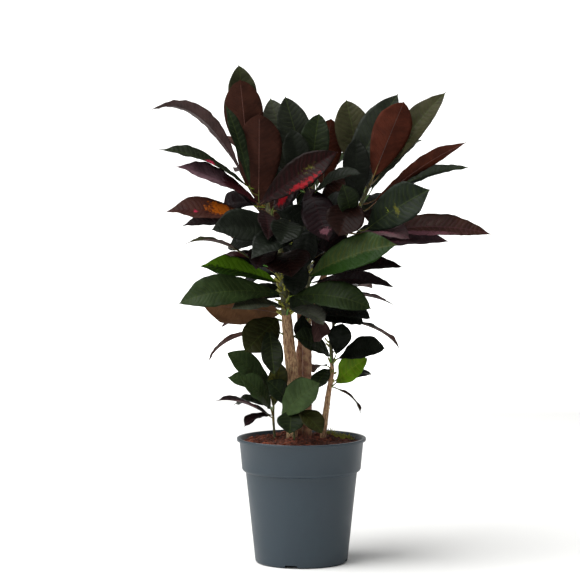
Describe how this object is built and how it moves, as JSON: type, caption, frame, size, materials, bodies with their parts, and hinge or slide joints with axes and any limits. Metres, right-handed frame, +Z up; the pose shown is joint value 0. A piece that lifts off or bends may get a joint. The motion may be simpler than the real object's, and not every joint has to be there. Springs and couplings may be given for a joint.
{
  "type": "potted croton plant",
  "caption": "Potted croton: woody cuttings with shoots of long glossy pointed leaves, standing in soil in a round tapered pot with a stepped rim band.",
  "frame": {"origin": "on the pot's axis, at the surface that the pot stands on", "axes": "+Z up, +X to the right and +Y to the back as the front view shows the plant"},
  "size_m": [0.5489, 0.3843, 0.8085],
  "materials": {
    "pot": "satin",
    "soil": "matte",
    "bark": "matte",
    "leaves": "gloss",
    "young_leaves": "gloss"
  },
  "bodies": {
    "root": {"pot": "pot", "soil": "soil", "trunk_left": "bark", "trunk_middle": "bark", "trunk_back": "bark", "trunk_right": "bark", "shoot_left": "leaves", "shoot_middle": "leaves", "shoot_right": "leaves", "shoot_back": "leaves", "shoot_twig": "leaves", "sucker_left": "young_leaves", "sucker_front": "young_leaves"}
  },
  "joints": []
}
